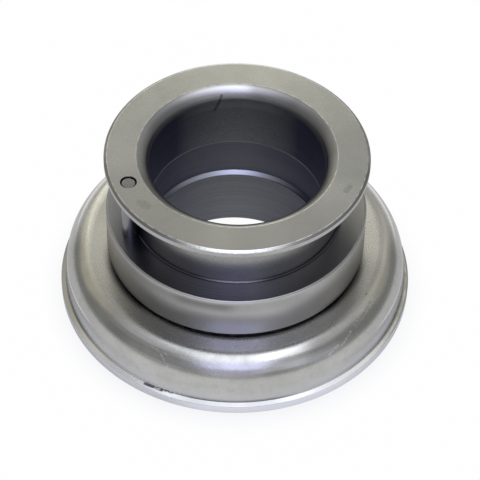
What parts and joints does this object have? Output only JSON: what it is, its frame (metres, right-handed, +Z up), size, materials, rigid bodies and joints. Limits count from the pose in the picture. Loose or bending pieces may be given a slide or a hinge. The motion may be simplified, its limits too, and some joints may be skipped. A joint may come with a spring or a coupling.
{
  "type": "clutch release bearing",
  "caption": "Clutch release bearing: steel collar with a fork groove and sleeve bore, carrying a ball thrust bearing under a pressed steel shell with a flat thrust face.",
  "frame": {"origin": "centre of the flat thrust face, on the sleeve axis", "axes": "+Z up the sleeve axis towards the fork end; +X to the right and -Y towards the viewer in the picture"},
  "size_m": [0.0722, 0.0722, 0.0382],
  "materials": {
    "collar_steel": "turned, satin, lightly oiled",
    "pin_steel": "ground, slightly dark",
    "race_steel": "ground bearing steel",
    "shell_steel": "pressed sheet, satin with light scuffs",
    "cage_steel": "pressed strip, matt",
    "ball_steel": "polished",
    "seal_rubber": "matt black"
  },
  "bodies": {
    "carrier": {"collar": "collar_steel", "fork_pin": "pin_steel", "inner_race": "race_steel"},
    "rotor": {"thrust_ring": "race_steel", "shell": "shell_steel", "rear_seal": "seal_rubber", "front_seal": "seal_rubber"},
    "cage": {"cage": "cage_steel"},
    "ball_01": {"ball_01": "ball_steel"},
    "ball_02": {"ball_02": "ball_steel"},
    "ball_03": {"ball_03": "ball_steel"},
    "ball_04": {"ball_04": "ball_steel"},
    "ball_05": {"ball_05": "ball_steel"},
    "ball_06": {"ball_06": "ball_steel"},
    "ball_07": {"ball_07": "ball_steel"},
    "ball_08": {"ball_08": "ball_steel"},
    "ball_09": {"ball_09": "ball_steel"},
    "ball_10": {"ball_10": "ball_steel"},
    "ball_11": {"ball_11": "ball_steel"},
    "ball_12": {"ball_12": "ball_steel"},
    "ball_13": {"ball_13": "ball_steel"},
    "ball_14": {"ball_14": "ball_steel"},
    "ball_15": {"ball_15": "ball_steel"},
    "ball_16": {"ball_16": "ball_steel"},
    "ball_17": {"ball_17": "ball_steel"},
    "ball_18": {"ball_18": "ball_steel"}
  },
  "joints": [
    {"name": "rotor_spin", "type": "hinge", "parent": "carrier", "child": "rotor", "pos_m": [0, 0, 0.0068], "axis": [0, 0, 1], "continuous": true},
    {"name": "cage_spin", "type": "hinge", "parent": "carrier", "child": "cage", "pos_m": [0, 0, 0.0068], "axis": [0, 0, 1], "continuous": true},
    {"name": "ball_01_spin", "type": "hinge", "parent": "cage", "child": "ball_01", "pos_m": [0.02742, 0, 0.0068], "axis": [0.7071, 0, 0.7071], "continuous": true},
    {"name": "ball_02_spin", "type": "hinge", "parent": "cage", "child": "ball_02", "pos_m": [0.02577, 0.00938, 0.0068], "axis": [0.6645, 0.2418, 0.7071], "continuous": true},
    {"name": "ball_03_spin", "type": "hinge", "parent": "cage", "child": "ball_03", "pos_m": [0.02101, 0.01763, 0.0068], "axis": [0.5417, 0.4545, 0.7071], "continuous": true},
    {"name": "ball_04_spin", "type": "hinge", "parent": "cage", "child": "ball_04", "pos_m": [0.01371, 0.02375, 0.0068], "axis": [0.3536, 0.6124, 0.7071], "continuous": true},
    {"name": "ball_05_spin", "type": "hinge", "parent": "cage", "child": "ball_05", "pos_m": [0.00476, 0.02701, 0.0068], "axis": [0.1228, 0.6964, 0.7071], "continuous": true},
    {"name": "ball_06_spin", "type": "hinge", "parent": "cage", "child": "ball_06", "pos_m": [-0.00476, 0.02701, 0.0068], "axis": [-0.1228, 0.6964, 0.7071], "continuous": true},
    {"name": "ball_07_spin", "type": "hinge", "parent": "cage", "child": "ball_07", "pos_m": [-0.01371, 0.02375, 0.0068], "axis": [-0.3536, 0.6124, 0.7071], "continuous": true},
    {"name": "ball_08_spin", "type": "hinge", "parent": "cage", "child": "ball_08", "pos_m": [-0.02101, 0.01763, 0.0068], "axis": [-0.5417, 0.4545, 0.7071], "continuous": true},
    {"name": "ball_09_spin", "type": "hinge", "parent": "cage", "child": "ball_09", "pos_m": [-0.02577, 0.00938, 0.0068], "axis": [-0.6645, 0.2418, 0.7071], "continuous": true},
    {"name": "ball_10_spin", "type": "hinge", "parent": "cage", "child": "ball_10", "pos_m": [-0.02742, 0, 0.0068], "axis": [-0.7071, 0, 0.7071], "continuous": true},
    {"name": "ball_11_spin", "type": "hinge", "parent": "cage", "child": "ball_11", "pos_m": [-0.02577, -0.00938, 0.0068], "axis": [-0.6645, -0.2418, 0.7071], "continuous": true},
    {"name": "ball_12_spin", "type": "hinge", "parent": "cage", "child": "ball_12", "pos_m": [-0.02101, -0.01763, 0.0068], "axis": [-0.5417, -0.4545, 0.7071], "continuous": true},
    {"name": "ball_13_spin", "type": "hinge", "parent": "cage", "child": "ball_13", "pos_m": [-0.01371, -0.02375, 0.0068], "axis": [-0.3536, -0.6124, 0.7071], "continuous": true},
    {"name": "ball_14_spin", "type": "hinge", "parent": "cage", "child": "ball_14", "pos_m": [-0.00476, -0.02701, 0.0068], "axis": [-0.1228, -0.6964, 0.7071], "continuous": true},
    {"name": "ball_15_spin", "type": "hinge", "parent": "cage", "child": "ball_15", "pos_m": [0.00476, -0.02701, 0.0068], "axis": [0.1228, -0.6964, 0.7071], "continuous": true},
    {"name": "ball_16_spin", "type": "hinge", "parent": "cage", "child": "ball_16", "pos_m": [0.01371, -0.02375, 0.0068], "axis": [0.3536, -0.6124, 0.7071], "continuous": true},
    {"name": "ball_17_spin", "type": "hinge", "parent": "cage", "child": "ball_17", "pos_m": [0.02101, -0.01763, 0.0068], "axis": [0.5417, -0.4545, 0.7071], "continuous": true},
    {"name": "ball_18_spin", "type": "hinge", "parent": "cage", "child": "ball_18", "pos_m": [0.02577, -0.00938, 0.0068], "axis": [0.6645, -0.2418, 0.7071], "continuous": true}
  ],
  "couplings": [
    {"joint": "cage_spin", "follows": "rotor_spin", "ratio": 0.54605},
    {"joint": "ball_01_spin", "follows": "rotor_spin", "ratio": 3.8059},
    {"joint": "ball_02_spin", "follows": "rotor_spin", "ratio": 3.8059},
    {"joint": "ball_03_spin", "follows": "rotor_spin", "ratio": 3.8059},
    {"joint": "ball_04_spin", "follows": "rotor_spin", "ratio": 3.8059},
    {"joint": "ball_05_spin", "follows": "rotor_spin", "ratio": 3.8059},
    {"joint": "ball_06_spin", "follows": "rotor_spin", "ratio": 3.8059},
    {"joint": "ball_07_spin", "follows": "rotor_spin", "ratio": 3.8059},
    {"joint": "ball_08_spin", "follows": "rotor_spin", "ratio": 3.8059},
    {"joint": "ball_09_spin", "follows": "rotor_spin", "ratio": 3.8059},
    {"joint": "ball_10_spin", "follows": "rotor_spin", "ratio": 3.8059},
    {"joint": "ball_11_spin", "follows": "rotor_spin", "ratio": 3.8059},
    {"joint": "ball_12_spin", "follows": "rotor_spin", "ratio": 3.8059},
    {"joint": "ball_13_spin", "follows": "rotor_spin", "ratio": 3.8059},
    {"joint": "ball_14_spin", "follows": "rotor_spin", "ratio": 3.8059},
    {"joint": "ball_15_spin", "follows": "rotor_spin", "ratio": 3.8059},
    {"joint": "ball_16_spin", "follows": "rotor_spin", "ratio": 3.8059},
    {"joint": "ball_17_spin", "follows": "rotor_spin", "ratio": 3.8059},
    {"joint": "ball_18_spin", "follows": "rotor_spin", "ratio": 3.8059}
  ]
}
